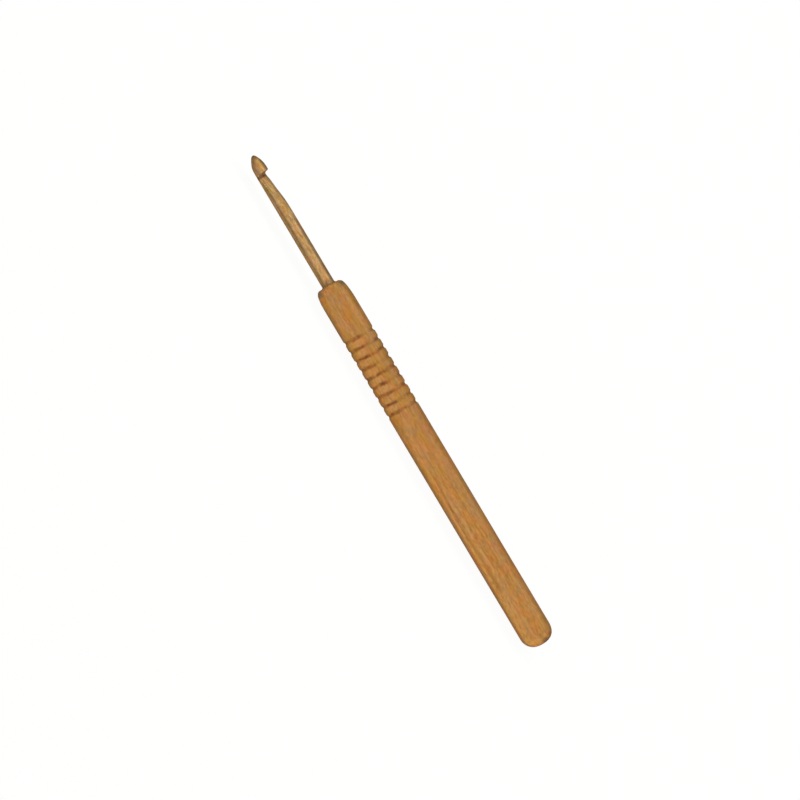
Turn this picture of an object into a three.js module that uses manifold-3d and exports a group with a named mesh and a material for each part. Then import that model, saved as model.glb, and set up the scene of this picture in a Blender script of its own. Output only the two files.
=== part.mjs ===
// Crochet hook, 3.75 mm: a slim carbonised-bamboo hook shaft glued into a
// thicker turned bamboo handle with nine finger grooves and a domed end.
//
// Frame, in millimetres: +X runs along the tool from the hook's tip to the
// domed butt, +Z is up and is the way the hook's mouth opens. The origin is
// under the middle of the tool, on the plane it rests on.
//
// Each piece is built standing along its local Y axis. Stations along it are
// written as s, the distance from the tip.

import * as THREE from "three";
import { mergeVertices } from "three/addons/utils/BufferGeometryUtils.js";
import Module from "manifold-3d";

const wasm = await Module();
wasm.setup();

// ---------------------------------------------------------------- shared dimensions

const TOTAL_LENGTH = 152; // nominal six-inch tool
const SIDES = 48; // flats round every turned surface, one facing straight down
const SHAFT_R = 1.875; // 3.75 mm hook size
const HANDLE_R = 4.5;
const AXIS_HEIGHT = HANDLE_R * Math.cos(Math.PI / SIDES); // puts the lowest flat at z = 0

// joint between the shaft and the handle
const SHOULDER_S = 40.3; // the handle's front face
const TENON_LENGTH = 19.5; // hidden length of the shaft inside the handle
const TENON_END_S = SHOULDER_S + TENON_LENGTH;
const TENON_CHAMFER = 0.45;
const BORE_R = 1.99;
const BORE_DEPTH = 20.0;
const BORE_END_S = SHOULDER_S + BORE_DEPTH;
const BORE_POINT = 1.15; // depth of the drill point's cone
const BORE_CHAMFER = 0.22;

// ---------------------------------------------------------------- materials

const handleBamboo = new THREE.MeshStandardMaterial({
  name: "carbonised bamboo, handle",
  color: 0xb57f45,
  roughness: 0.48,
  metalness: 0,
});
const shaftBamboo = new THREE.MeshStandardMaterial({
  name: "carbonised bamboo, shaft",
  color: 0xbd925c,
  roughness: 0.42,
  metalness: 0,
});
const curedGlue = new THREE.MeshStandardMaterial({
  name: "cured wood glue",
  color: 0x8a6a3a,
  roughness: 0.35,
  metalness: 0,
});

// ---------------------------------------------------------------- helpers

const WELD_TOLERANCE = 1e-4;

// A closed three.js geometry as a manifold-3d solid.
function solidFrom(geometry) {
  // normals and uvs would keep vertices apart at seams
  geometry.deleteAttribute("normal");
  geometry.deleteAttribute("uv");
  const merged = mergeVertices(geometry, WELD_TOLERANCE);
  const index = merged.index.array;
  const triVerts = [];
  for (let i = 0; i < index.length; i += 3) {
    const [a, b, c] = index.slice(i, i + 3);
    // triangles collapsed by the weld, as on a lathe's axis, are left out
    if (a !== b && b !== c && c !== a) triVerts.push(a, b, c);
  }
  return new wasm.Manifold(
    new wasm.Mesh({
      numProp: 3,
      vertProperties: merged.attributes.position.array,
      triVerts: new Uint32Array(triVerts),
    }),
  );
}

// A manifold-3d solid as a flat-shaded geometry.
function geometryFrom(solid) {
  const mesh = solid.getMesh();
  const indexed = new THREE.BufferGeometry();
  indexed.setAttribute("position", new THREE.BufferAttribute(mesh.vertProperties, 3));
  indexed.setIndex(new THREE.BufferAttribute(mesh.triVerts, 1));
  const flat = indexed.toNonIndexed();
  flat.computeVertexNormals();
  return flat;
}

// A turned piece about the local Y axis. The profile is a list of
// [radius, s] with the material on its left.
function turned(profile) {
  const points = profile.map(([radius, s]) => new THREE.Vector2(radius, s));
  return new THREE.LatheGeometry(points, SIDES, Math.PI / SIDES);
}

// ---------------------------------------------------------------- hook shaft

// [s, radius] of the pointed head, tip first
const HEAD_PROFILE = [
  [0.07, 0.3], [0.26, 0.56], [0.56, 0.79], [0.95, 1.0], [1.4, 1.24],
  [1.9, 1.47], [2.4, 1.64], [2.95, 1.76], [3.5, 1.84],
  [4.1, SHAFT_R], [4.7, SHAFT_R], [5.35, SHAFT_R], [6.2, SHAFT_R],
];

const LIP_S = 5.27; // outer edge of the lip
const LIP_BULGE = 0.18; // the head swells this much on the mouth side, at the lip
const LIP_BULGE_FROM = 1.5;
const LIP_BULGE_FULL = 4.5;
const LIP_BULGE_END = 6.2;

// the mouth's front wall, square to the axis outside the lip
const MOUTH_WALL_CLEARANCE = 0.05; // the wall starts to slope this far above the lip
const MOUTH_WALL_TOP_Z = SHAFT_R + LIP_BULGE + MOUTH_WALL_CLEARANCE;
const MOUTH_WALL_FOOT_S = 5.36; // where the wall turns into the rounded corner
const MOUTH_WALL_FOOT_Z = 0.5;

// [s, height above the shaft's axis] of the rounded corner and the throat floor
const THROAT = [
  [5.41, 0.22], [5.5, 0.02], [5.65, -0.13], [5.85, -0.21],
  [6.3, -0.17], [7.0, -0.04], [8.0, 0.14], [9.2, 0.3],
  [10.7, 0.48], [12.0, 0.72], [13.4, 1.03], [15.0, 1.33],
  [16.6, 1.57], [18.0, 1.74], [19.4, 1.87], [20.6, 1.95],
];
const CUTTER_HALF_WIDTH = 3.2;
const CUTTER_TOP_Z = 3.6;

// The shaft before the mouth is cut, fuller on the side the mouth opens.
function shaftBlank() {
  const blank = turned([
    [0, 0],
    ...HEAD_PROFILE.map(([s, radius]) => [radius, s]),
    [SHAFT_R, TENON_END_S - TENON_CHAMFER],
    [SHAFT_R - TENON_CHAMFER, TENON_END_S],
    [0, TENON_END_S],
  ]);
  const { smoothstep } = THREE.MathUtils;
  const position = blank.attributes.position;
  for (let i = 0; i < position.count; i++) {
    const s = position.getY(i);
    const z = position.getZ(i);
    if (z <= 0 || s > LIP_BULGE_END) continue;
    const rise = smoothstep(s, LIP_BULGE_FROM, LIP_BULGE_FULL);
    const fall = 1 - smoothstep(s, LIP_S, LIP_BULGE_END);
    const upwardShare = z / Math.hypot(position.getX(i), z);
    position.setZ(i, z + LIP_BULGE * rise * fall * upwardShare ** 2);
  }
  return blank;
}

// The mouth and throat, as a block running straight across the shaft.
function mouthCutter() {
  const outline = [
    // [s, height above the axis]
    [LIP_S, CUTTER_TOP_Z],
    [LIP_S, MOUTH_WALL_TOP_Z],
    [MOUTH_WALL_FOOT_S, MOUTH_WALL_FOOT_Z],
    ...THROAT,
    [THROAT.at(-1)[0], CUTTER_TOP_Z],
  ];
  // drawn with x downwards, as the turn about Y takes +X to -Z
  const shape = new THREE.Shape(outline.map(([s, z]) => new THREE.Vector2(-z, s)));
  const cutter = new THREE.ExtrudeGeometry(shape, {
    depth: 2 * CUTTER_HALF_WIDTH,
    bevelEnabled: false,
  });
  cutter.translate(0, 0, -CUTTER_HALF_WIDTH);
  cutter.rotateY(Math.PI / 2);
  return cutter;
}

function hookShaft() {
  return solidFrom(shaftBlank()).subtract(solidFrom(mouthCutter()));
}

// ---------------------------------------------------------------- handle

// [distance behind the front face, radius]
const NOSE_PROFILE = [
  [0.0, 3.0], [0.1, 3.27], [0.27, 3.54], [0.5, 3.75], [0.85, 3.92],
  [1.4, 4.07], [2.2, 4.21], [3.2, 4.33], [4.5, 4.43], [6.2, HANDLE_R],
];

const GROOVES = 9;
const FIRST_GROOVE_S = 56.12; // middle of the groove nearest the hook
const GROOVE_PITCH = 2.83;
const GROOVE_WIDTH = 1.44;
const GROOVE_DEPTH = 0.33;
// [share of the half width, share of the depth]
const GROOVE_SECTION = [
  [-1.0, 0.0], [-0.58, 0.55], [-0.22, 0.97],
  [0.22, 0.97], [0.58, 0.55], [1.0, 0.0],
];

const BUTT_LENGTH = 4.4; // the domed end, along the axis
const BUTT_S = TOTAL_LENGTH - BUTT_LENGTH;
const BUTT_POWER = 2.35; // a little fuller than an ellipse, whose power is 2
const BUTT_RADII = [4.46, 4.36, 4.18, 3.9, 3.5, 2.95, 2.3, 1.55, 0.75];

function grooveProfile(middle) {
  return GROOVE_SECTION.map(([across, down]) => [
    HANDLE_R - GROOVE_DEPTH * down,
    middle + (across * GROOVE_WIDTH) / 2,
  ]);
}

// The point of the dome, a superellipse, at a given radius.
function buttPoint(radius) {
  const rise = (1 - (radius / HANDLE_R) ** BUTT_POWER) ** (1 / BUTT_POWER);
  return [radius, BUTT_S + BUTT_LENGTH * rise];
}

function handle() {
  const profile = [
    [0, BORE_END_S + BORE_POINT],
    [BORE_R, BORE_END_S],
    [BORE_R, SHOULDER_S + BORE_CHAMFER],
    [BORE_R + BORE_CHAMFER, SHOULDER_S],
    ...NOSE_PROFILE.map(([behind, radius]) => [radius, SHOULDER_S + behind]),
  ];
  for (let i = 0; i < GROOVES; i++)
    profile.push(...grooveProfile(FIRST_GROOVE_S + i * GROOVE_PITCH));
  profile.push([HANDLE_R, BUTT_S], ...BUTT_RADII.map(buttPoint), [0, TOTAL_LENGTH]);
  return solidFrom(turned(profile));
}

// ---------------------------------------------------------------- glue

const GLUE_CLEAR = 0.02; // keeps the cured glue a separate solid
const GLUE_END_CLEAR = 0.06; // the glue stops this far short of the bore's end
const BEAD_LENGTH = 0.24; // squeeze-out along the shaft, in front of the shoulder
// [height above the glue's inner radius, share of the length], thin end first
const BEAD_PROFILE = [[0, 1], [0.07, 0.6], [0.16, 0.25], [0.3, 0]];
const BEAD_BACK_HEIGHT = 0.28; // above the inner radius, just inside the bore's mouth
const BEAD_BACK_DEPTH = 0.02; // behind the shoulder

// A thin cup of cured glue between tenon and bore, closed over the tenon's
// end, with a small bead where it squeezed out at the shoulder.
function glueLine() {
  const inner = SHAFT_R + GLUE_CLEAR;
  const outer = BORE_R - GLUE_CLEAR;
  const face = SHOULDER_S - GLUE_CLEAR;
  const cupFloor = TENON_END_S + GLUE_CLEAR;
  const cupEnd = BORE_END_S - GLUE_END_CLEAR;
  return solidFrom(turned([
    [0, cupFloor],
    [inner - TENON_CHAMFER, cupFloor],
    [inner, cupFloor - TENON_CHAMFER],
    ...BEAD_PROFILE.map(([height, share]) => [inner + height, face - share * BEAD_LENGTH]),
    [inner + BEAD_BACK_HEIGHT, SHOULDER_S + BEAD_BACK_DEPTH],
    [outer, SHOULDER_S + BORE_CHAMFER],
    [outer, cupEnd],
    [0, cupEnd],
  ]));
}

// ---------------------------------------------------------------- assembly

function piece(name, solid, material) {
  const mesh = new THREE.Mesh(geometryFrom(solid), material);
  mesh.name = name;
  return mesh;
}

// lays the pieces' local Y axis along +X
const tool = new THREE.Group();
tool.add(
  piece("hook_shaft", hookShaft(), shaftBamboo),
  piece("glue_line", glueLine(), curedGlue),
  piece("handle", handle(), handleBamboo),
);
tool.rotation.z = -Math.PI / 2;
tool.position.set(-TOTAL_LENGTH / 2, 0, AXIS_HEIGHT);

const crochetHook = new THREE.Group();
crochetHook.name = "crochet_hook";
crochetHook.add(tool);

export default crochetHook;
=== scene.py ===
"""A bamboo crochet hook: a round shaft with a cut mouth, glued into a handle with ring grooves.

The tool lies along X, tip at the low end, mouth opening to +Z. Up to the materials, lengths are in
millimetres: x is the distance from the tip, y is across the tool and z is the height above its
axis. place() turns them into the frame's metres. Angles round the tool start at +Z and turn
towards +Y. The floor, lights and camera are in metres; the camera looks from -Y and above.
"""

import math

import bpy
import numpy as np
from mathutils import Matrix, Vector


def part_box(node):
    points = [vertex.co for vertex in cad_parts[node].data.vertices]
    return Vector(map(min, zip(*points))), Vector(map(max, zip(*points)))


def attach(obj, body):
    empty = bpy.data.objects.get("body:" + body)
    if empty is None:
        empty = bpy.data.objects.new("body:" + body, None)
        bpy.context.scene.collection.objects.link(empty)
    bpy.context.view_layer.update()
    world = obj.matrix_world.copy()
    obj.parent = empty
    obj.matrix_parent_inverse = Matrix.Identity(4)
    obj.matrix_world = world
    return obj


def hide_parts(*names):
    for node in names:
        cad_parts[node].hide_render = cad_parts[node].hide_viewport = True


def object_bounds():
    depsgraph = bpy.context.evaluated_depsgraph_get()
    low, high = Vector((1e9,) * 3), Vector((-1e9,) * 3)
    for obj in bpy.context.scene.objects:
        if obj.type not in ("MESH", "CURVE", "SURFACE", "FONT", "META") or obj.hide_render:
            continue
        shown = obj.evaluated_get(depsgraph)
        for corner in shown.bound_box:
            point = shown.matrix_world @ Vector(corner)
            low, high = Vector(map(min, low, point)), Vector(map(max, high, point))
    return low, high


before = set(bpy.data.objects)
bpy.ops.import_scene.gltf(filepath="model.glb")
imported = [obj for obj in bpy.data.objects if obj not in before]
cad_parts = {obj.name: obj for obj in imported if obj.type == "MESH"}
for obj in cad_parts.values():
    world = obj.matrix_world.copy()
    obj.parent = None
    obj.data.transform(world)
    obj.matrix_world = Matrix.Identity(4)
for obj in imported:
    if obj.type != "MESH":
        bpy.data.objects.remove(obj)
cad_low, cad_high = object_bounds()

# ------------------------------------------------------------------ sizes, read from the CAD frame

CAD_SIDES = 48  # the CAD cylinders are prisms, measured across their flats
shaft_low, shaft_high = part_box("hook_shaft")
handle_low, handle_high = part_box("handle")
TIP_X = shaft_low.x  # metres
AXIS_Z = (handle_low.z + handle_high.z) / 2  # metres
TOTAL = (handle_high.x - TIP_X) * 1000
SHOULDER = (handle_low.x - TIP_X) * 1000  # the handle's front face
TENON_END = (shaft_high.x - TIP_X) * 1000
SHAFT_R = (shaft_high.y - shaft_low.y) * 500 / math.cos(math.pi / CAD_SIDES)
HANDLE_R = (handle_high.y - handle_low.y) * 500 / math.cos(math.pi / CAD_SIDES)

TENON_CHAMFER = 0.45
BORE_R, BORE_END, BORE_POINT, BORE_CHAMFER = 1.99, SHOULDER + 20.0, 1.15, 0.22

# ------------------------------------------------------------------ curves and meshes


def step(start, end, x):
    """0 before start, 1 after end, eased between. With start above end it falls instead."""
    share = np.clip((np.asarray(x, float) - start) / (end - start), 0.0, 1.0)
    return share * share * (3 - 2 * share)


def fade(start, end, x):
    return 1 - step(start, end, x)


def near(value, centre, full, gone):
    """1 within full of the centre, 0 from gone onwards."""
    return fade(full, gone, np.abs(value - centre))


def bell(value, centre, width):
    return np.exp(-(((value - centre) / width) ** 2))


def hollow(offset, half, power):
    """A groove's section: 1 in the middle and 0 from half onwards."""
    share = np.clip(np.abs(offset) / half, 0, 1)
    return (np.cos(math.pi * share / 2) ** 2) ** power


def lines(knots, x):
    """Straight lines through knots [(x, value), ...]."""
    at, value = np.array(knots, float).T
    return np.interp(x, at, value)


def curve(knots, x):
    """A monotone cubic through knots [(x, value), ...]."""
    at, value = np.array(knots, float).T
    x = np.clip(np.asarray(x, float), at[0], at[-1])
    gap = np.diff(at)
    slope = np.diff(value) / gap
    tangent = np.zeros(len(at))
    for i in range(1, len(at) - 1):
        if slope[i - 1] * slope[i] > 0:
            before = 2 * gap[i] + gap[i - 1]
            after = gap[i] + 2 * gap[i - 1]
            tangent[i] = (before + after) / (before / slope[i - 1] + after / slope[i])
    tangent[0] = slope[0]
    tangent[-1] = slope[-1]
    i = np.clip(np.searchsorted(at, x) - 1, 0, len(gap) - 1)
    t = (x - at[i]) / gap[i]
    return (
        value[i] * (2 * t**3 - 3 * t**2 + 1)
        + gap[i] * tangent[i] * (t**3 - 2 * t**2 + t)
        + value[i + 1] * (-2 * t**3 + 3 * t**2)
        + gap[i] * tangent[i + 1] * (t**3 - t**2)
    )


RIPPLES = ((0.11, 1, 0.45), (0.23, 2, 0.3), (0.41, 3, 0.2), (0.83, 5, 0.12))
# (radians per mm, waves round the tool, size)


def ripple(x, angle, seed):
    """A slow, repeatable unevenness between about -1 and 1, as hand sanding leaves."""
    total = 0.0
    for i, (along, around, size) in enumerate(RIPPLES):
        total = total + size * np.sin(
            along * x + around * angle + 1.7 * seed + 2.1 * i
        ) * np.cos(0.6 * along * x - 0.9 * seed * (i + 1))
    return total


def place(x, y, z):
    return np.stack([TIP_X + x / 1000, y / 1000, AXIS_Z + z / 1000], axis=-1)


def angles(sides):
    return np.arange(sides) * 2 * math.pi / sides


def wrapped(angle):
    """The angle between -pi and pi."""
    return np.angle(np.exp(1j * angle))


def lofted(name, rings, start, end, sharp):
    """One closed mesh through rings, given as x, y, z arrays of (ring, side), closed by a point
    at each end. Edges over sharp degrees are marked."""
    rings = place(*rings)
    count, sides, _ = rings.shape
    verts = np.concatenate([place(*start)[None], rings.reshape(-1, 3), place(*end)[None]])
    side = np.arange(sides)
    following = (side + 1) % sides
    ring = (1 + np.arange(count - 1) * sides)[:, None]
    corners = [ring + side, ring + following, ring + sides + following, ring + sides + side]
    quads = np.stack(corners, axis=-1).reshape(-1, 4)
    last = 1 + (count - 1) * sides
    first_fan = np.stack([np.zeros_like(side), 1 + following, 1 + side], axis=-1)
    end_point = np.full_like(side, len(verts) - 1)
    last_fan = np.stack([end_point, last + side, last + following], axis=-1)

    # a negative volume means that the faces look inwards
    tris = np.concatenate([quads[:, [0, 1, 2]], quads[:, [0, 2, 3]], first_fan, last_fan])
    a, b, c = (verts[tris[:, i]] for i in range(3))
    volume = np.einsum("ij,ij->i", a, np.cross(b, c)).sum()
    faces = quads.tolist() + first_fan.tolist() + last_fan.tolist()
    if volume < 0:
        faces = [face[::-1] for face in faces]

    mesh = bpy.data.meshes.new(name)
    mesh.from_pydata(verts.tolist(), [], faces)
    mesh.update()
    for polygon in mesh.polygons:
        polygon.use_smooth = True
    mesh.set_sharp_from_angle(angle=math.radians(sharp))
    return linked(name, mesh)


def linked(name, data):
    obj = bpy.data.objects.new(name, data)
    bpy.context.scene.collection.objects.link(obj)
    return obj


def paint(obj, **layers):
    """Numbers at the vertices, which the materials read; the two end points get 0."""
    for name, values in layers.items():
        values = np.concatenate([[0.0], values.ravel(), [0.0]])
        attribute = obj.data.attributes.new(name, "FLOAT", "POINT")
        attribute.data.foreach_set("value", values.astype(np.float32))


# ------------------------------------------------------------------ the hook shaft

# (square root of x, radius): the pointed head
HEAD = [
    (0.0, 0.0), (0.2646, 0.262), (0.51, 0.515), (0.748, 0.762), (0.975, 0.985),
    (1.183, 1.23), (1.378, 1.46), (1.549, 1.63), (1.7176, 1.753), (1.871, 1.836),
    (2.025, 1.868), (2.2, SHAFT_R), (9.0, SHAFT_R),
]
# (x, height of the throat's floor above the axis)
FLOOR = [
    (4.9, -0.25), (5.7, -0.24), (6.3, -0.17), (7.0, -0.04), (8.0, 0.14),
    (9.2, 0.30), (10.7, 0.48), (12.0, 0.72), (13.4, 1.03), (15.0, 1.33),
    (16.6, 1.57), (18.0, 1.74), (19.4, 1.87), (20.6, 1.95), (24.0, 2.2),
]
FLOOR_CROWN = 0.018  # the floor falls away a little to each side
LIP_BULGE = 0.18
POINT_Z = 0.24
LIP_EDGE = 5.25  # x of the mouth's wall at its top
WALL_FOOT, WALL_FOOT_Z, WALL_HEIGHT = 5.42, -0.3, 2.3
INNER_FILLET, OUTER_ROUND = 0.78, 0.3

# The shaft's rings are cast from a core line inside the wood until they meet its surface
SHAFT_SIDES = 144
TIP_RINGS, TIP_RINGS_END = 40, 3.3
CAST_REACH, CAST_HALVINGS = 3.4, 46
# (x, distance to the next ring): closer at the mouth
RING_GAP = [
    (3.3, 0.12), (3.7, 0.03), (4.9, 0.03), (6.0, 0.09), (9.0, 0.2), (21.0, 0.32), (30.0, 0.9),
]
# (x, height of the core line): it dips under the mouth
CORE_Z = [
    (0.0, POINT_Z), (1.0, 0.08), (2.4, -0.45), (3.8, -1.0), (9.0, -0.95),
    (12.0, -0.7), (17.0, -0.1), (22.0, 0.0), (60.0, 0.0),
]
# (x, how far the upward rays lean towards the handle)
CORE_LEAN = [
    (0.0, 0.0), (1.2, 0.0), (3.75, 0.5), (4.7, 0.5), (6.0, 0.42), (9.0, 0.2), (13.0, 0.0),
    (60.0, 0.0),
]

# painted shade along the shaft's -Y side: (x, how dark the painted shade is at each of the angles on
# the next line)
SIDE_SHADE_AT = (-180, -150, -112, -99.6, -88.8, -79.4, -70.6, -62, -54, -46, 180)
SIDE_SHADE = (
    (0.0, (0.20, 0.35, 0.55, 0.62, 0.66, 0.66, 0.58, 0.42, 0.10, 0.0, 0.0)),
    (5.0, (0.20, 0.35, 0.52, 0.60, 0.66, 0.66, 0.52, 0.34, 0.08, 0.0, 0.0)),
    (8.0, (0.20, 0.35, 0.52, 0.62, 0.78, 0.62, 0.30, 0.03, 0.0, 0.0, 0.0)),
    (15.0, (0.20, 0.35, 0.52, 0.62, 0.84, 0.70, 0.24, 0.06, 0.0, 0.0, 0.0)),
    (25.0, (0.20, 0.35, 0.52, 0.62, 0.84, 0.68, 0.20, 0.04, 0.0, 0.0, 0.0)),
    (30.0, (0.20, 0.35, 0.54, 0.66, 0.84, 0.46, 0.02, 0.0, 0.0, 0.0, 0.0)),
    (60.0, (0.20, 0.35, 0.54, 0.66, 0.84, 0.46, 0.02, 0.0, 0.0, 0.0, 0.0)),
)
# (x, darkness) of the painted shade in the line along the top, and on the throat's floor at its +Y
# edge
TOP_DARK = (
    (1.2, 0.20), (2.0, 0.85), (4.5, 0.80), (5.3, 0.50), (9, 0.55), (20, 0.66), (30, 0.72),
)
FLOOR_DARK = ((6.2, 0.62), (8.0, 0.50), (10, 0.50), (14, 0.56), (20, 0.50))
# (angle, darkness) of the painted shade, with some dirt, on the shaft where it meets the handle
SHOULDER_DARK = (
    (-180, 0.6), (-110, 0.68), (-99.6, 0.72), (-79.4, 0.72), (-62, 0.52),
    (-46, 0.34), (-29, 0.24), (-8, 0.52), (30, 0.6), (180, 0.6),
)


def blank_field(x, y, z):
    """Below zero inside the round blank, in about millimetres."""
    radius = curve(HEAD, np.sqrt(np.maximum(x, 0.0)))
    z = z - POINT_Z * fade(0.0, 4.2, x)  # the point is a touch towards the mouth
    angle = np.arctan2(y, z)
    swell = LIP_BULGE * step(1.5, 4.5, x) * np.maximum(0, np.cos(angle)) ** 2
    swell = swell * fade(6.5, 9.0, x)
    uneven = 0.010 * ripple(x, angle, seed=1.0) * step(0.5, 3.0, x)
    uneven = uneven * fade(SHOULDER - 4, SHOULDER - 1, x)
    return np.hypot(y, z) - (radius + swell + uneven - 0.02)


def easing(first, second, radius):
    """How much to round the corner where two fields meet."""
    share = np.maximum(radius - np.abs(first - second), 0) / radius
    return share * share * radius / 4


def cut_field(x, y, z):
    """Above zero where the mouth and throat are cut away."""
    floor = z - (curve(FLOOR, x) - FLOOR_CROWN * y * y)
    wall = x - (WALL_FOOT + (z - WALL_FOOT_Z) * (LIP_EDGE - WALL_FOOT) / WALL_HEIGHT)
    return np.minimum(floor, wall) - easing(floor, wall, INNER_FILLET)


def shaft_field(x, y, z):
    blank, cut = blank_field(x, y, z), cut_field(x, y, z)
    return np.maximum(blank, cut) + easing(blank, cut, OUTER_ROUND)


def shaft_surface():
    """x, y, z of the carved shaft's rings."""
    tip = np.linspace(0.06, math.sqrt(TIP_RINGS_END), TIP_RINGS) ** 2
    rest = [TIP_RINGS_END]
    while rest[-1] < SHOULDER - 2:
        rest.append(rest[-1] + float(curve(RING_GAP, rest[-1])))
    core_x = np.concatenate([tip, rest[1:]])[:, None]
    core_z = curve(CORE_Z, core_x)
    angle = angles(SHAFT_SIDES)
    ray_x = curve(CORE_LEAN, core_x) * np.maximum(np.cos(angle), 0)
    ray_y = np.broadcast_to(np.sin(angle), ray_x.shape)
    ray_z = np.broadcast_to(np.cos(angle), ray_x.shape)

    def along_ray(reach):
        return core_x + ray_x * reach, ray_y * reach, core_z + ray_z * reach

    inner = np.zeros(ray_x.shape)
    outer = np.full(ray_x.shape, CAST_REACH)
    for _ in range(CAST_HALVINGS):
        middle = (inner + outer) / 2
        outside = shaft_field(*along_ray(middle)) > 0
        outer = np.where(outside, middle, outer)
        inner = np.where(outside, inner, middle)
    return along_ray((inner + outer) / 2)


# the painted shade along the shaft's -Y side, at this x and angle
def painted_side_shade(x, degrees):
    rows = np.array([np.interp(degrees, SIDE_SHADE_AT, values) for _, values in SIDE_SHADE])
    at = np.interp(x, [row[0] for row in SIDE_SHADE], np.arange(len(SIDE_SHADE)))
    low = np.clip(np.floor(at).astype(int), 0, len(SIDE_SHADE) - 2)
    share = at - low

    def pick(index):
        return np.take_along_axis(rows, index[None], axis=0)[0]

    return pick(low) * (1 - share) + pick(low + 1) * share


def paint_shaft(obj, x, y, z):
    on_cut = fade(-0.12, 0.03, blank_field(x, y, z))
    on_skin = 1 - on_cut
    angle = np.arctan2(y, z)
    degrees = np.degrees(angle)

    # darker along the foot of the mouth, and a little on its wall: partly dirt and finish gathered
    # there, partly painted shade in the crease
    crease = bell(x, 6.10, 0.38) * np.maximum(on_cut, step(0.9, 0.1, z) * step(-2.3, -1.3, z))
    crease = crease * (1 - 0.55 * step(0.5, 1.4, y))
    wall = 0.34 * step(1.9, 0.3, z) * fade(5.7, 6.1, x) * on_cut * (x > 4.9)
    wall = wall * (1 - 0.7 * step(0.3, 1.2, y))

    # painted shade in lines along the -Y side and the top
    side_shade = painted_side_shade(x, degrees) * on_skin
    top = near(degrees, 2, full=9, gone=30) * lines(TOP_DARK, x) * on_skin

    # painted shade: the throat's floor is darker along both of its edges
    far_edge = step(0.1, 0.9, y) * lines(FLOOR_DARK, x)
    near_edge = 0.34 * step(0.75, 1.5, -y) * fade(11, 15, x)
    edges = np.maximum(far_edge, near_edge) * on_cut * step(5.6, 6.2, x)

    # painted highlight: a pale band along the shaft between its top and -Y side, and a paler patch
    # near the tip
    highlight_band = bell(degrees, -31, 11) * step(1.5, 4, x) * on_skin * (0.55 + 0.15 * np.sin(0.9 * x))
    patch = bell(degrees, -42, 16) * bell(x, 1.95, 0.55) * on_skin
    highlight_band = np.maximum(highlight_band, 0.8 * patch)

    # the point is darker, partly its end grain and partly painted shade away from -20 degrees;
    # painted shade on the lip's upper corner, and on the shaft where it joins the handle, which also
    # holds some dirt
    point = fade(0.7, 2.1, x) * (0.92 - 0.22 * np.cos(angle + math.radians(20)))
    lip = 0.10 * step(4.5, 5.15, x) * fade(5.3, 5.6, x) * on_skin * (z > 0)
    join = lines(SHOULDER_DARK, degrees) * step(SHOULDER - 1.9, SHOULDER - 0.9, x)
    join = join * (1 - 0.6 * step(SHOULDER - 0.6, SHOULDER - 0.1, x))
    paint(
        obj,
        stain=np.maximum.reduce([wall, join, side_shade, top, point, lip, edges]),
        groove=crease,
        pale=highlight_band,
        # painted light on the throat's floor behind the mouth
        worn=on_cut * step(6.1, 6.9, x) * fade(10, 19, x),
    )


def hook_shaft():
    x, y, z = shaft_surface()
    # the plain end runs on into the handle as the glued tenon
    radius = SHAFT_R - 0.01
    end = [(SHOULDER + at, radius) for at in (-1.2, -0.4, 0.4, 4, 9, 14)]
    for share in np.linspace(0, 1, 4):
        end.append((TENON_END - TENON_CHAMFER * (1 - share), radius - TENON_CHAMFER * share))
    end_x, end_r = np.array(end).T[:, :, None]
    angle = angles(SHAFT_SIDES)
    x = np.concatenate([x, np.broadcast_to(end_x, (len(end), SHAFT_SIDES))])
    y = np.concatenate([y, end_r * np.sin(angle)])
    z = np.concatenate([z, end_r * np.cos(angle)])
    obj = lofted("hook_shaft_fine", (x, y, z), (0.0, 0.0, POINT_Z), (TENON_END, 0.0, 0.0), sharp=35)
    paint_shaft(obj, x, y, z)
    return obj


# ------------------------------------------------------------------ the handle

HANDLE_SIDES = 160
# (distance behind the front face, radius)
NOSE = [
    (0.0, 2.8), (0.0, 3.0), (0.05, 3.2), (0.15, 3.4), (0.3, 3.585), (0.52, 3.75), (0.85, 3.9),
    (1.4, 4.065), (2.2, 4.205), (3.2, 4.325), (4.5, 4.425), (6.2, 4.492), (7.4, HANDLE_R),
]
NOSE_CORNER = 6  # the NOSE point where the rings change from close to wide
BUTT, BUTT_POWER = 4.4, 2.35  # the domed end's length and fullness
DOME_START = TOTAL - BUTT
CROWN_LEAN = 0.12
LEAN_ANGLE = math.radians(36)  # the side that the crown and the eased shoulder are towards
CROWN_Y, CROWN_Z = CROWN_LEAN * math.sin(LEAN_ANGLE), CROWN_LEAN * math.cos(LEAN_ANGLE)

GROOVES, FIRST_GROOVE, PITCH = 9, 56.12, 2.83
GROOVE_HALF, GROOVE_DEPTH = 0.72, 0.33
GROOVES_START = FIRST_GROOVE - PITCH / 2
GROOVES_END = FIRST_GROOVE + (GROOVES - 0.5) * PITCH

# (angle, how dark the grooves are): their dirt, with painted shade that is darkest near -68 degrees
# and lightest near -26
GROOVE_DARK = (
    (-180, 0.75), (-115, 0.66), (-104, 0.70), (-99.6, 0.76), (-90.5, 0.82), (-82.4, 0.82),
    (-75, 0.99), (-68, 1.02), (-61, 0.96), (-54, 0.82), (-47, 0.62), (-40, 0.465), (-33, 0.36),
    (-26, 0.28), (-17.5, 0.37), (-8.4, 0.50), (2.4, 0.73), (20, 0.8), (90, 0.75), (180, 0.75),
)
# (angle, how far the dark line sits off the groove's middle, towards the butt): painted shade on one
# flank
SHADE_SHIFT = (
    (-180, 0.0), (-115, 0.0), (-104, -0.05), (-94, -0.12), (-80, 0.08), (-40, 0.12),
    (-24, 0.17), (-14, 0.04), (0, 0.0), (180, 0.0),
)
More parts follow.
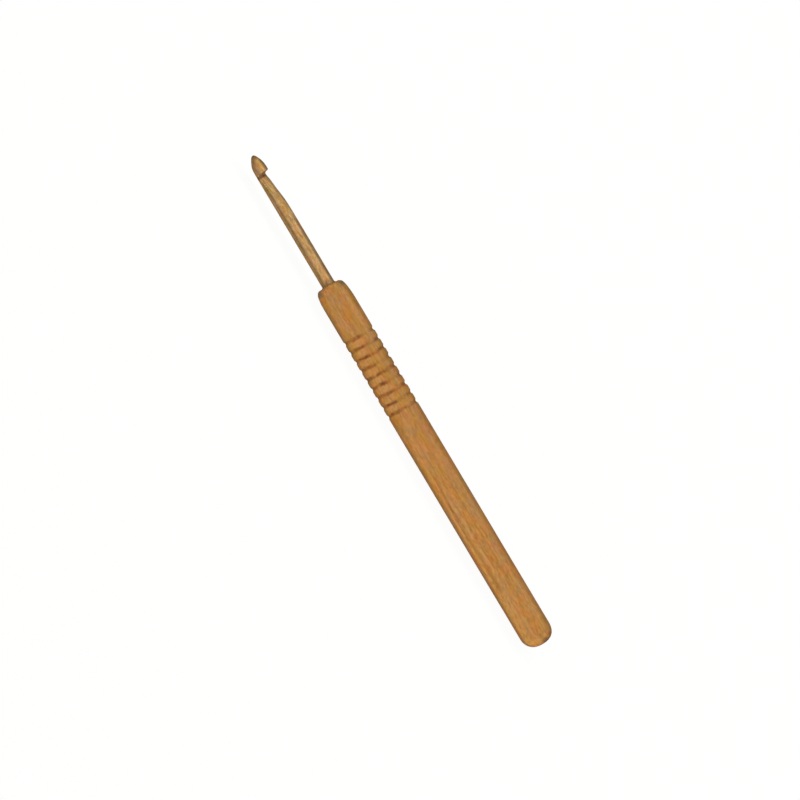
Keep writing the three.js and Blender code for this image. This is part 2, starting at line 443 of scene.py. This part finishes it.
# for each groove: its dirt and painted shade at -42 to 10 and at -110 to -60 degrees, and its depth
# where thumbed
UPPER_DIRT_AND_SHADE = (0.55, 0.95, 1.35, 0.45, 1.25, 0.65, 1.05, 0.85, 0.95)
LOWER_DIRT_AND_SHADE = (0.90, 1.00, 1.06, 0.97, 0.98, 0.92, 0.98, 1.08, 1.02)
THUMBED_DEPTH = (0.50, 0.80, 1.00, 0.45, 0.95, 0.55, 0.85, 0.65, 0.80)
DIRT_AND_SHADE_AT = (-180, -110, -60, -42, 10, 60, 180)

# strands that stand out: (half width, then x, angle and strength), pale above zero, dark below
STRANDS = (
    (0.50, (
        (86, -91, 0), (90, -91.5, 0.5), (101, -92.7, 0.6), (104, -96, 0.4),
        (108.5, -99.6, 0.6), (114, -99.6, 0.8), (122, -99.6, 1.0), (131, -99.6, 0.95),
        (136, -98, 0.45), (141, -97, 0.5), (146, -97, 0))),
    (0.42, (
        (98, -80, 0), (102, -82.4, -0.6), (106, -87, -0.95), (112, -89, -1.0),
        (116, -90.5, -0.8), (120, -87, -0.45), (125, -86.4, -0.7), (132, -86.4, -0.6),
        (138, -86, 0))),
    (0.50, (
        (100, -74.9, 0), (106, -74.9, 0.6), (112, -75, 0.55), (120, -75.5, 0.5),
        (128, -73, 0.4), (135, -71, 0.35), (143, -70, 0))),
    (0.40, ((83, -69, 0), (87, -69.5, -0.35), (92, -69.5, -0.25), (97, -69, 0))),
    (0.45, ((86, -44, 0), (90, -43.5, -0.28), (95, -43, -0.2), (100, -42, 0))),
    (0.45, ((82, -29, 0), (87, -29.5, -0.28), (92, -30, -0.2), (97, -30, 0))),
    (0.45, ((82, -78, 0), (88, -79, 0.35), (93, -79, 0.3), (98, -80, 0))),
    (0.45, ((133, -13, 0), (138, -12.5, 0.45), (142, -12, 0.4), (147, -12, 0))),
    (0.45, ((42, -17, 0), (45, -17.5, 0.5), (50, -17.5, 0.5), (55, -18, 0))),
    (0.50, ((42, -37, 0), (46, -37, -0.35), (51, -36, -0.35), (55, -36, 0))),
)
ACROSS_Y, ACROSS_Z = 0.588, 0.809  # the direction along which the end's shading is measured


def bore_outline():
    """(x, radius) from the bore's bottom out to the front face."""
    chamfer_end = SHOULDER + BORE_CHAMFER
    outline = [(BORE_END + BORE_POINT * (1 - a), BORE_R * a) for a in (0.12, 0.5, 0.97)]
    for at in (BORE_END, BORE_END - 0.05, BORE_END - 6, BORE_END - 12, SHOULDER + 4,
               chamfer_end + 0.05, chamfer_end):
        outline.append((at, BORE_R))
    for radius in (BORE_R + BORE_CHAMFER, 2.25, 2.4, 2.55, 2.7):
        outline.append((SHOULDER, radius))
    return np.array(outline)


def outer_outline():
    """x and radius from the front face over the nose and the body to the butt."""
    nose = np.array(NOSE)
    along = np.concatenate([[0], np.cumsum(np.hypot(*np.diff(nose, axis=0).T))])
    corner = along[NOSE_CORNER]
    at = np.concatenate([np.linspace(0, corner, 30), np.linspace(corner, along[-1], 26)[1:]])
    nose_x = SHOULDER + curve(list(zip(along, nose[:, 0])), at)
    nose_r = curve(list(zip(along, nose[:, 1])), at)

    body_x = list(np.arange(nose_x[-1] + 0.8, GROOVES_START, 0.8))
    edge = GROOVE_HALF * 1.12
    around_groove = np.concatenate([
        np.linspace(-PITCH / 2, -edge, 5, endpoint=False),
        np.linspace(-edge, edge, 30),
        np.linspace(edge, PITCH / 2, 5, endpoint=False)[1:],
    ])
    for i in range(GROOVES):
        body_x += list(FIRST_GROOVE + i * PITCH + around_groove)
    body_x += list(np.linspace(GROOVES_END, DOME_START, 66)[:-1])

    turn = np.linspace(0, math.pi / 2, 44)[:-1]
    power = 2 / BUTT_POWER
    dome_x = DOME_START + BUTT * np.sin(turn) ** power
    dome_r = HANDLE_R * np.cos(turn) ** power
    x = np.concatenate([nose_x, body_x, dome_x])
    return x, np.concatenate([nose_r, np.full(len(body_x), HANDLE_R), dome_r])


def cut_grooves(x, angle, radius):
    """The radius with the grooves cut into it, and how dark they are: part dirt, part painted shade.
    """
    dirt_and_shade = np.zeros_like(x)
    degrees = np.degrees(wrapped(angle))
    darkness = lines(GROOVE_DARK, degrees)
    # painted shade: the dark line sits on one flank or the other, depending on the angle
    shift = lines(SHADE_SHIFT, degrees)
    thumbed = near(degrees, -28, full=18, gone=44)
    under = near(np.abs(degrees), 144, full=25, gone=65)
    for i in range(GROOVES):
        # each groove was cut by hand: a little deeper, wider or off square than its neighbours
        depth = GROOVE_DEPTH * (0.93 + 0.07 * math.sin(2.3 * i + 0.7))
        half = GROOVE_HALF * (1.0 + 0.05 * math.sin(4.1 * i + 1.9))
        middle = FIRST_GROOVE + i * PITCH + 0.035 * math.sin(3.7 * i)
        middle = middle + 0.02 * np.sin(angle + 1.3 * i)
        run_out = 1 + 0.07 * np.sin(angle + 2.2 * i)
        run_out = run_out * (1 - thumbed * (1 - THUMBED_DEPTH[i])) * (1 - 0.18 * under)
        radius = radius - depth * hollow(x - middle, half, 0.62) * run_out

        wavy = 0.07 * np.sin(3 * angle + 1.7 * i) + 0.05 * np.sin(7 * angle + 2.9 * i)
        blotch = 0.86 + 0.20 * np.sin(5 * angle + 1.3 * i) + 0.13 * np.sin(12 * angle + 2.1 * i)
        dark_half = half * (0.92 + 0.12 * np.sin(4 * angle + 2.4 * i))
        line = hollow(x - middle - shift - wavy, dark_half, 0.8) * blotch
        lower, upper = LOWER_DIRT_AND_SHADE[i], UPPER_DIRT_AND_SHADE[i]
        own = np.interp(degrees, DIRT_AND_SHADE_AT, (1, lower, lower, upper, upper, 1, 1))
        dirt_and_shade = np.maximum(dirt_and_shade, line * darkness * own)
    return radius, dirt_and_shade


def paint_handle(obj, x, y, z, radius, angle, groove):
    behind = x - SHOULDER
    degrees = np.degrees(wrapped(angle))
    across = (y * ACROSS_Y + z * ACROSS_Z) / HANDLE_R

    # painted light: paler between the grooves and along the -Y side near the butt, on the nose's rim
    # and on the dome away from +Y and +Z, with a paler spot towards them
    lands = 0.42 * near(degrees, -82, full=12, gone=34)
    lands = lands * step(FIRST_GROOVE - 1.0, FIRST_GROOVE + 0.4, x)
    lands = lands * fade(GROOVES_END - 1.4, GROOVES_END, x) * fade(0.1, 0.5, groove)
    low_side = 0.62 * near(degrees, -98, full=9, gone=27) * step(128, 140, x) * fade(150, 151.5, x)
    rim = 0.60 * near(degrees, -34, full=14, gone=32) * step(2.9, 3.4, radius)
    rim = rim * fade(0.5, 1.6, behind)
    crown = step(148.4, 150.7, x) * fade(-0.10, 0.30, across) * step(0.2, 1.2, radius)
    crown = np.maximum(crown, 0.8 * bell(x, 150.1, 0.6) * bell(across, 0.42, 0.16))

    # the pale and dark strands of the cane, and the painted light above; the strongest mark wins
    marks = []
    for width, path in STRANDS:
        at, drift, strength = np.array(path, float).T
        drift = np.radians(np.interp(x, at, drift))
        offset = wrapped(angle - drift) * HANDLE_R
        marks.append(np.interp(x, at, strength, 0, 0) * bell(offset, 0, width))
    pale = np.zeros_like(x)
    for mark in marks + [lands, low_side, rim, 0.30 * crown]:
        pale = np.where(np.abs(mark) > np.abs(pale), mark, pale)

    # darker round the bore, partly the dark joint and partly painted shade between the parts;
    # painted shade on the nose's front face and outer edges, along lines at -122 and 15 degrees near
    # the outline from the camera, and at the dome's end and upper edge
    bore = 0.55 * fade(0.0, 0.35, radius - BORE_R - BORE_CHAMFER) * (x < SHOULDER + 1)
    edges = 0.62 * step(0.40, 0.74, np.abs(across)) * step(3.2, 3.7, radius)
    edges = edges * fade(1.2, 2.6, behind)
    face = 0.24 * step(2.8, 3.4, radius) * fade(0.3, 1.0, behind)
    face = face * step(20, 34, np.abs(degrees + 34))
    outline_shade = np.maximum(
        1.35 * near(degrees, -122, full=3, gone=17), 1.1 * near(degrees, 15, full=3, gone=16)
    )
    outline_shade = outline_shade * (0.23 + 0.05 * np.sin(0.31 * x + angle))
    outline_shade = outline_shade * step(SHOULDER + 1, SHOULDER + 4, x)
    dome_end = 0.58 * step(150.6, 151.3, x) * step(-0.05, 0.25, across)
    dome_edge = 0.50 * step(149.4, 150.4, x) * step(0.52, 0.72, across)
    stain = np.maximum.reduce([bore, edges, face, outline_shade, dome_end, dome_edge])
    paint(obj, stain=stain, groove=groove, pale=pale, worn=0.85 * crown)


def handle():
    angle = angles(HANDLE_SIDES)
    outer_x, outer_r = outer_outline()
    x, turn = np.meshgrid(outer_x, angle, indexing="ij")
    radius = np.repeat(outer_r[:, None], HANDLE_SIDES, axis=1)

    # the shoulder was eased by hand: rounder on one side than on the other
    facing = np.cos(turn - LEAN_ANGLE)
    behind = x - SHOULDER
    corner = step(2.7, 3.4, radius) * fade(1.0, 6.0, behind)
    eased = 0.20 * np.maximum(facing, 0) ** 2 * corner * (x < SHOULDER + 8)
    fuller = 0.09 * np.maximum(-facing, 0) ** 2 * step(0.35, 1.2, behind) * fade(3.0, 6.0, behind)

    radius, groove = cut_grooves(x, turn, radius)
    body = step(SHOULDER + 2, SHOULDER + 9, x) * fade(DOME_START - 3, TOTAL, x)
    radius = radius + fuller + body * (0.012 * ripple(x, turn, seed=2.0) - 0.012)

    bore = bore_outline()
    inside = (len(bore), HANDLE_SIDES)
    x = np.concatenate([np.broadcast_to(bore[:, :1], inside), x + eased])
    radius = np.concatenate([np.broadcast_to(bore[:, 1:], inside), radius])
    groove = np.concatenate([np.zeros(inside), groove])
    # the dome's crown sits a little to one side
    lean = step(DOME_START + 0.8, TOTAL, x)
    y = radius * np.sin(angle) + lean * CROWN_Y
    z = radius * np.cos(angle) + lean * CROWN_Z
    bottom, crown = (BORE_END + BORE_POINT, 0.0, 0.0), (TOTAL, CROWN_Y, CROWN_Z)
    obj = lofted("handle_fine", (x, y, z), bottom, crown, sharp=40)
    paint_handle(obj, x, y, z, radius, np.broadcast_to(angle, x.shape), groove)
    return obj


# ------------------------------------------------------------------ the glue

GLUE_SIDES = 120
GLUE_GAP = 0.02
BEAD_LENGTH, BEAD_WIDTH = 0.24, 0.3


def glue_line():
    """A sleeve between tenon and bore, with an uneven bead in front of the shoulder."""
    inner, outer = SHAFT_R + GLUE_GAP, BORE_R - GLUE_GAP
    face = SHOULDER - GLUE_GAP
    tenon_end, sleeve_end = TENON_END + GLUE_GAP, BORE_END - 0.06
    # (x, radius, share of the bead's unevenness)
    rings = [
        (tenon_end, 0.5, 0),
        (tenon_end, inner - TENON_CHAMFER, 0),
        (TENON_END - TENON_CHAMFER + GLUE_GAP, inner, 0),
    ]
    for at in (TENON_END - 6, TENON_END - 12, SHOULDER + 1, SHOULDER):
        rings.append((at, inner, 0))
    rings.append((face - BEAD_LENGTH, inner, 0.3))
    for share in np.linspace(0.12, 1.0, 9):
        at = face - BEAD_LENGTH * (1 - share) ** 1.8
        rings.append((at, inner + BEAD_WIDTH * share, np.sin(math.pi * min(share, 0.95))))
    rings.append((SHOULDER + 0.02, inner + 0.28, 0))
    for at in (SHOULDER + BORE_CHAMFER, SHOULDER + 4, SHOULDER + 10, SHOULDER + 16, sleeve_end):
        rings.append((at, outer, 0))
    rings.append((sleeve_end, 0.5, 0))

    x, radius, share = np.array(rings).T[:, :, None]
    angle = angles(GLUE_SIDES)
    uneven = 0.5 * np.sin(3 * angle + 0.8) + 0.3 * np.sin(7 * angle + 2.0) + 0.2 * np.sin(11 * angle)
    x = x - share * 0.05 * (1 + uneven)
    rings = (x, radius * np.sin(angle), radius * np.cos(angle))
    start, end = (tenon_end, 0.0, 0.0), (sleeve_end, 0.0, 0.0)
    return lofted("glue_bead_fine", rings, start, end, sharp=50)


# ------------------------------------------------------------------ materials


class Graph:
    """Shorthand for building the nodes of a material or a world."""

    def __init__(self, owner):
        self.owner = owner
        owner.use_nodes = True
        self.tree = owner.node_tree
        self.tree.nodes.clear()
        self.count = 0

    def node(self, kind, inputs=None, **settings):
        node = self.tree.nodes.new(kind)
        node.location = (180 * (self.count // 6), -190 * (self.count % 6))
        self.count += 1
        for name, value in settings.items():
            setattr(node, name, value)
        for key, value in (inputs or {}).items():
            self.feed(node.inputs[key], value)
        return node

    def feed(self, socket, value):
        if isinstance(value, bpy.types.NodeSocket):
            self.tree.links.new(value, socket)
        elif isinstance(value, tuple):
            missing = len(socket.default_value) - len(value)
            socket.default_value = value + (1.0,) * missing
        else:
            socket.default_value = value

    def math(self, operation, a, b=None):
        inputs = {0: a} if b is None else {0: a, 1: b}
        return self.node("ShaderNodeMath", inputs, operation=operation).outputs[0]

    def add(self, a, b):
        return self.math("ADD", a, b)

    def sub(self, a, b):
        return self.math("SUBTRACT", a, b)

    def mul(self, a, b):
        return self.math("MULTIPLY", a, b)

    def swing(self, value, by):
        """A 0 to 1 value centred on zero, times by."""
        return self.mul(self.sub(value, 0.5), by)

    def vector(self, x, y, z):
        return self.node("ShaderNodeCombineXYZ", {0: x, 1: y, 2: z}).outputs[0]

    def split(self, vector):
        return tuple(self.node("ShaderNodeSeparateXYZ", {0: vector}).outputs)

    def noise(self, vector, detail, rough=0.5, output=0):
        inputs = {"Vector": vector, "Scale": 1.0, "Detail": detail, "Roughness": rough}
        return self.node("ShaderNodeTexNoise", inputs, noise_dimensions="3D").outputs[output]

    def cells(self, x, y):
        """Distance to the nearest cell's centre, and a random number for the cell."""
        inputs = {"Vector": self.vector(x, y, 0.0), "Scale": 1.0, "Randomness": 0.85}
        node = self.node("ShaderNodeTexVoronoi", inputs, voronoi_dimensions="2D", feature="F1")
        return node.outputs["Distance"], self.split(node.outputs["Color"])[0]

    def band(self, value, start, end, low=0.0, high=1.0):
        """value from start to end, eased, gives low to high."""
        inputs = {"Value": value, "From Min": start, "From Max": end, "To Min": low, "To Max": high}
        return self.node("ShaderNodeMapRange", inputs, interpolation_type="SMOOTHSTEP").outputs[0]

    def blend(self, share, a, b, mode="MIX"):
        inputs = {0: share, 6: a, 7: b}
        return self.node("ShaderNodeMix", inputs, data_type="RGBA", blend_type=mode).outputs[2]

    def tint(self, colour, by):
        return self.blend(1.0, colour, by, mode="MULTIPLY")

    def mixed(self, share, a, b):
        return self.node("ShaderNodeMix", {0: share, 2: a, 3: b}, data_type="FLOAT").outputs[0]

    def painted(self, name):
        return self.node("ShaderNodeAttribute", attribute_name=name).outputs["Fac"]

    def object_coords(self):
        return self.node("ShaderNodeTexCoord").outputs["Object"]

    def shader(self, kind, inputs):
        return self.node("ShaderNode" + kind, inputs).outputs[0]

    def mix_shader(self, share, a, b):
        return self.shader("MixShader", {0: share, 1: a, 2: b})

    def finish(self, shader, kind="Material"):
        self.node("ShaderNodeOutput" + kind, {"Surface": shader})
        return self.owner

    def coated(self, colour, roughness, height, bump, bump_depth, **extra):
        """A principled surface with a bump; extra names inputs with _ for spaces."""
        inputs = {"Strength": bump, "Distance": bump_depth, "Height": height}
        normal = self.node("ShaderNodeBump", inputs).outputs[0]
        inputs = {"Base Color": colour, "Roughness": roughness, "Normal": normal}
        inputs.update((name.replace("_", " "), value) for name, value in extra.items())
        return self.finish(self.shader("BsdfPrincipled", inputs))


def scaled(colour, factors):
    return tuple(channel * factor for channel, factor in zip(colour, factors))


def bamboo(name, warm, olive, seed, culm_angle, groove_tint, end_tint, strands, gloss, dashes,
           grime_and_shade_share, grime_and_shade):
    """Carbonised bamboo under a thin satin lacquer. Its strands run along X all through the
    wood, so they show as streaks on the sides and as dots where the end grain shows."""
    g = Graph(bpy.data.materials.new(name))
    x, y, z = g.split(g.object_coords())
    # millimetres, measured from the tool's axis
    x = g.mul(x, 1000.0)
    y = g.mul(y, 1000.0)
    z = g.mul(g.sub(z, AXIS_Z), 1000.0)

    # the strands wander slowly and run a little out of true
    slow = g.vector(g.add(g.mul(x, 0.021), seed), 3.1, 7.7)
    wander = g.split(g.noise(slow, detail=1.0, output=1))
    y = g.add(g.add(y, g.swing(wander[0], by=1.5)), g.mul(x, 0.0045))
    z = g.add(g.add(z, g.swing(wander[1], by=1.5)), g.mul(x, -0.0065))
    cosine, sine = math.cos(culm_angle), math.sin(culm_angle)
    outward = g.add(g.mul(y, sine), g.mul(z, cosine))  # towards the outside of the cane
    sideways = g.sub(g.mul(y, cosine), g.mul(z, sine))

    def grain(along, across, detail, rough=0.5, shift=(0, 0, 0)):
        """Noise with its own frequency along and across the strands."""
        axes = []
        for axis, scale, offset in zip((x, y, z), (along, across, across), shift):
            axis = g.mul(axis, scale)
            axes.append(g.add(axis, offset) if offset else axis)
        return g.noise(g.vector(*axes), detail=detail, rough=rough)

    # vascular bundles: small and close near the cane's skin, larger and wider apart inside
    distance, chance = g.cells(g.mul(outward, 1 / 0.62), g.mul(sideways, 1 / 0.5))
    small = g.mul(g.band(distance, start=0.40, end=0.14), g.add(0.35, g.mul(chance, 0.65)))
    distance, chance = g.cells(g.add(g.mul(outward, 1 / 1.15), 5.3), g.mul(sideways, 1 / 0.9))
    large = g.mul(g.band(distance, start=0.31, end=0.13), g.add(0.4, g.mul(chance, 0.6)))
    bundles = g.mixed(g.band(outward, start=-2.5, end=2.5), large, small)
    # a turned surface meets them at a slight angle, so they come and go as dashes
    gaps = grain(along=0.36, across=1.3, detail=1.5, shift=(0, 0, seed))
    bundles = g.mul(bundles, g.band(gaps, start=0.40, end=0.62, low=0.25, high=1.3))

    # from fine fibres to broad patches of colour
    fibre = grain(along=0.085, across=3.6, detail=3.0, rough=0.6)
    hair = grain(along=0.30, across=15.0, detail=2.0, rough=0.55)
    fleck = grain(along=0.26, across=6.5, detail=2.0, shift=(0, 0, 31.0))
    streak = grain(along=0.085, across=1.45, detail=1.5, shift=(0, 0, 17.0))
    dash = grain(along=0.72, across=1.75, detail=1.2, shift=(0, 0, 43.0))
    broad = grain(along=0.27, across=0.33, detail=1.5, rough=0.55, shift=(seed * 2, 0, 0))
    gold = grain(along=0.25, across=0.36, detail=1.2, shift=(seed * 3, 9.0, 0))
    patch = grain(along=0.21, across=0.95, detail=2.0, shift=(seed * 5, 0, 0))

    # how far the face looks along the strands: end grain drinks more finish
    normal_x = g.split(g.node("ShaderNodeNewGeometry").outputs["Normal"])[0]
    end = g.band(g.math("ABSOLUTE", normal_x), start=0.45, end=0.97)

    colour = g.blend(g.band(broad, start=0.36, end=0.66), olive, warm)
    light = g.add(g.swing(fibre, by=0.20), g.swing(hair, by=0.08))
    light = g.add(light, g.add(g.swing(streak, by=0.40), g.swing(dash, by=dashes)))
    light = g.add(light, g.swing(patch, by=0.28))
    # pale fibres are creamier and dark ones browner: the swing of red, green and blue
    channel_swing = (0.80, 1.08, 1.60)
    light = g.vector(*(g.add(1.0, g.mul(light, swing)) for swing in channel_swing))
    colour = g.tint(colour, by=light)
    # golden areas have a little more red and much less blue
    rich = g.sub(gold, 0.5)
    richness = g.vector(g.add(1.0, g.mul(rich, 0.10)), 1.0, g.sub(1.0, g.mul(rich, 1.65)))
    colour = g.tint(colour, by=richness)
    dark = scaled(warm, (0.50, 0.40, 0.34))
    share = g.mul(bundles, g.mixed(end, strands, strands * 1.7))
    colour = g.blend(g.math("MINIMUM", share, 0.85), colour, dark)
    colour = g.blend(g.mul(g.band(fleck, start=0.60, end=0.72), 0.14), colour, dark)
    colour = g.blend(g.mul(end, 0.9), colour, end_tint, mode="MULTIPLY")

    # the strands that stand out, broken up by the grain
    painted = g.painted("pale")
    broken = g.add(g.mul(hair, 0.4), g.mul(dash, 0.6))
    broken = g.band(broken, start=0.38, end=0.60, low=0.30, high=1.0)
    pale = g.mul(g.math("MAXIMUM", painted, 0.0), broken)
    colour = g.blend(g.mul(pale, 0.85), colour, scaled(olive, (1.45, 1.55, 1.85)))
    broken = g.band(dash, start=0.40, end=0.62, low=0.12, high=0.72)
    colour = g.blend(g.mul(g.math("MAXIMUM", g.mul(painted, -1.0), 0.0), broken), colour, dark)
    # the darker bottoms of the grooves and the mouth's crease: dirt with painted shade
    patchy = g.band(grain(along=0.5, across=0.8, detail=1.0), start=0.35, end=0.65)
    patchy = g.mixed(patchy, 0.72, 1.04)
    groove = g.mul(g.math("POWER", g.painted("groove"), 0.9), patchy)
    colour = g.blend(groove, colour, g.tint(colour, by=groove_tint))
    # painted light: the throat's floor behind the mouth and parts of the dome are paler
    worn = g.mul(g.painted("worn"), 0.34)
    colour = g.blend(worn, colour, g.tint(colour, by=(1.75, 1.85, 2.0)))
    # the stains and the painted shade in the stain channel turn towards this darker colour
    grime_and_shade_colour = g.blend(grime_and_shade_share, g.tint(colour, by=(0.27, 0.23, 0.17)), grime_and_shade)
    colour = g.blend(g.painted("stain"), colour, grime_and_shade_colour)

    rough = g.add(gloss, g.swing(fibre, by=0.16))
    rough = g.add(rough, g.mul(g.add(end, groove), 0.10))
    height = g.add(g.mul(hair, 0.35), g.add(g.mul(fibre, 0.65), g.mul(bundles, -0.55)))
    return g.coated(
        colour, g.math("MINIMUM", rough, 0.9), height, bump=0.55, bump_depth=0.000012,
        Specular_IOR_Level=0.27, Coat_Weight=0.05, Coat_Roughness=0.34,
    )


def shaft_bamboo():
    return bamboo(
        "carbonised_bamboo_shaft", warm=(0.560, 0.280, 0.090), olive=(0.500, 0.294, 0.094),
        seed=11.3, culm_angle=0.9, groove_tint=(0.26, 0.16, 0.085), end_tint=(0.84, 0.80, 0.76),
        strands=0.36, gloss=0.50, dashes=1.25, grime_and_shade_share=0.50, grime_and_shade=(0.120, 0.088, 0.038),
    )


def handle_bamboo():
    return bamboo(
        "carbonised_bamboo_handle", warm=(0.510, 0.204, 0.041), olive=(0.449, 0.214, 0.0445),
        seed=2.7, culm_angle=-0.35, groove_tint=(0.44, 0.27, 0.09), end_tint=(1.22, 1.14, 1.04),
        strands=0.30, gloss=0.56, dashes=0.70, grime_and_shade_share=0.88, grime_and_shade=(0.112, 0.100, 0.066),
    )


def cured_glue():
    g = Graph(bpy.data.materials.new("cured_glue_amber"))
    inputs = {0: g.object_coords(), "Scale": 1000.0}  # to millimetres
    position = g.node("ShaderNodeVectorMath", inputs, operation="SCALE").outputs[0]
    cloud = g.noise(position, detail=3.0, rough=0.6)
    dark_amber, light_amber = (0.20, 0.115, 0.036), (0.36, 0.215, 0.075)
    colour = g.blend(g.band(cloud, start=0.35, end=0.7), dark_amber, light_amber)
    rough = g.band(cloud, start=0.3, end=0.7, low=0.22, high=0.42)
    return g.coated(colour, rough, cloud, bump=0.4, bump_depth=0.00001, Coat_Weight=0.2)


def floor_paper():
    """Pale paper that each kind of ray sees differently. The camera sees 93 % plain white glow
    and 7 % lit paper, so only a trace of the real shadow shows. Diffuse rays see darker paper
    with a faint even glow, glossy rays see it dim, and from below it isn't there."""
    g = Graph(bpy.data.materials.new("studio_paper"))
    path = g.node("ShaderNodeLightPath").outputs
    lit_paper = g.shader("BsdfDiffuse", {"Color": (0.74, 0.74, 0.73)})
    dark_paper = g.shader("BsdfDiffuse", {"Color": (0.44, 0.44, 0.435)})
    # for diffuse rays the paper also gives the tool a faint even light from below
    table = g.shader("Emission", {"Color": (1.0, 0.995, 0.98), "Strength": 0.165})
    lit = g.shader("AddShader", {0: dark_paper, 1: table})
    # for glossy rays it is a dim table, so the lacquer doesn't mirror the bright paper
    card = g.shader("Emission", {"Color": (1.0, 1.0, 1.0), "Strength": 0.05})
    bounce = g.mix_shader(path["Is Glossy Ray"], lit, card)
    glow = g.shader("Emission", {"Color": (1.0, 1.0, 0.995), "Strength": 1.03})
    seen = g.mix_shader(0.93, lit_paper, glow)
    above = g.mix_shader(path["Is Camera Ray"], bounce, seen)
    clear = g.shader("BsdfTransparent", {})
    backfacing = g.node("ShaderNodeNewGeometry").outputs["Backfacing"]
    return g.finish(g.mix_shader(backfacing, above, clear))


# ------------------------------------------------------------------ put the pieces together

pieces = (
    (hook_shaft(), "hook_shaft", "shaft_bamboo", shaft_bamboo()),
    (glue_line(), "glue_line", "cured_glue", cured_glue()),
    (handle(), "handle", "handle_bamboo", handle_bamboo()),
)
for obj, node, slot, material in pieces:
    obj.data.materials.append(material)
    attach(obj, "root")
    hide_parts(node)

# ------------------------------------------------------------------ floor, light, camera

FLOOR_HALF, FLOOR_Z = 3.0, -0.00003
CENTRE = Vector(((cad_low.x + cad_high.x) / 2, 0, AXIS_Z))


def studio_floor():
    mesh = bpy.data.meshes.new("studio_floor")
    signs = ((-1, -1), (1, -1), (1, 1), (-1, 1))
    corners = [(i * FLOOR_HALF, j * FLOOR_HALF, FLOOR_Z) for i, j in signs]
    mesh.from_pydata(corners, [], [(0, 1, 2, 3)])
    mesh.materials.append(floor_paper())
    linked("studio_floor", mesh)


def around(elevation):
    """The direction square to the tool, at this many degrees up from -Y."""
    angle = math.radians(elevation)
    return Vector((0.0, -math.cos(angle), math.sin(angle)))


def studio_world():
    """A room that is bright in front of the table and dim behind it; the camera sees white."""
    world = bpy.data.worlds.new("studio")
    bpy.context.scene.world = world
    g = Graph(world)
    path = g.node("ShaderNodeLightPath").outputs
    direction = g.node("ShaderNodeTexCoord").outputs["Generated"]
    inputs = {0: direction, 1: tuple(around(48))}
    facing = g.node("ShaderNodeVectorMath", inputs, operation="DOT_PRODUCT").outputs["Value"]
    grade = g.band(facing, start=-0.35, end=0.85, low=0.27, high=0.395)
    # glossy rays see a quarter of its strength, so the lacquer mirrors the lamps and little else
    inputs = {"Value": path["Is Glossy Ray"], "To Min": 1.0, "To Max": 0.25}
    cards = g.node("ShaderNodeMapRange", inputs).outputs[0]
    power = g.mul(grade, cards)
    fill = g.shader("Background", {"Color": (1.0, 0.995, 0.985), "Strength": power})
    seen = g.shader("Background", {"Color": (1.0, 1.0, 1.0), "Strength": 1.0})
    g.finish(g.mix_shader(path["Is Camera Ray"], fill, seen), kind="World")


def softbox(name, direction, distance, size, power, colour, depth=None):
    """A round softbox, or with a depth a strip that lies along the tool."""
    data = bpy.data.lights.new(name, "AREA")
    data.size = size
    data.energy = power
    data.color = colour
    direction = direction.normalized()
    if depth is None:
        data.shape = "DISK"
        rotation = (-direction).to_track_quat("-Z", "Y")
    else:
        data.shape = "RECTANGLE"
        data.size_y = depth
        along = Vector((1, 0, 0))
        over = direction.cross(along).normalized()
        rotation = Matrix((along, over, direction)).transposed().to_quaternion()
    lamp = linked(name, data)
    lamp.location = CENTRE + direction * distance
    lamp.rotation_mode = "QUATERNION"
    lamp.rotation_quaternion = rotation
    lamp.visible_camera = False


CAMERA_ELEVATION, CAMERA_ROLL = math.radians(36), math.radians(59.23)
LENS, SENSOR = 400.0, 36.0  # millimetres
VIEW_WIDTH = 0.21403  # at the tool
AIM_RIGHT, AIM_UP = 0.000749105, 0.0000401306  # from the tool's centre, in the view


def studio_camera():
    back = Vector((0, -math.cos(CAMERA_ELEVATION), math.sin(CAMERA_ELEVATION)))
    level_right = Vector((1, 0, 0))
    level_up = Vector((0, math.sin(CAMERA_ELEVATION), math.cos(CAMERA_ELEVATION)))
    right = math.cos(CAMERA_ROLL) * level_right + math.sin(CAMERA_ROLL) * level_up
    up = -math.sin(CAMERA_ROLL) * level_right + math.cos(CAMERA_ROLL) * level_up
    data = bpy.data.cameras.new("camera")
    data.lens = LENS
    data.sensor_width = SENSOR
    data.clip_start = 0.05
    data.clip_end = 20
    camera = linked("camera", data)
    position = CENTRE + right * AIM_RIGHT + up * AIM_UP + back * (VIEW_WIDTH * LENS / SENSOR)
    rotation = Matrix((right, up, back)).transposed().to_4x4()
    camera.matrix_world = Matrix.Translation(position) @ rotation
    bpy.context.scene.camera = camera


studio_floor()
studio_world()
WARM_WHITE = (1.0, 0.99, 0.97)
softbox("key_softbox", around(40) + Vector((0.7, 0, 0)), distance=1.1, size=0.6, power=0.5,
        colour=WARM_WHITE)
softbox("low_strip", around(4), distance=0.9, size=1.2, power=5.05, colour=WARM_WHITE, depth=0.12)
softbox("top_strip", around(108), distance=0.9, size=1.2, power=4.55, colour=(1, 1, 1), depth=0.25)
studio_camera()
bpy.context.scene.view_settings.view_transform = "Standard"
bpy.context.scene.view_settings.look = "None"
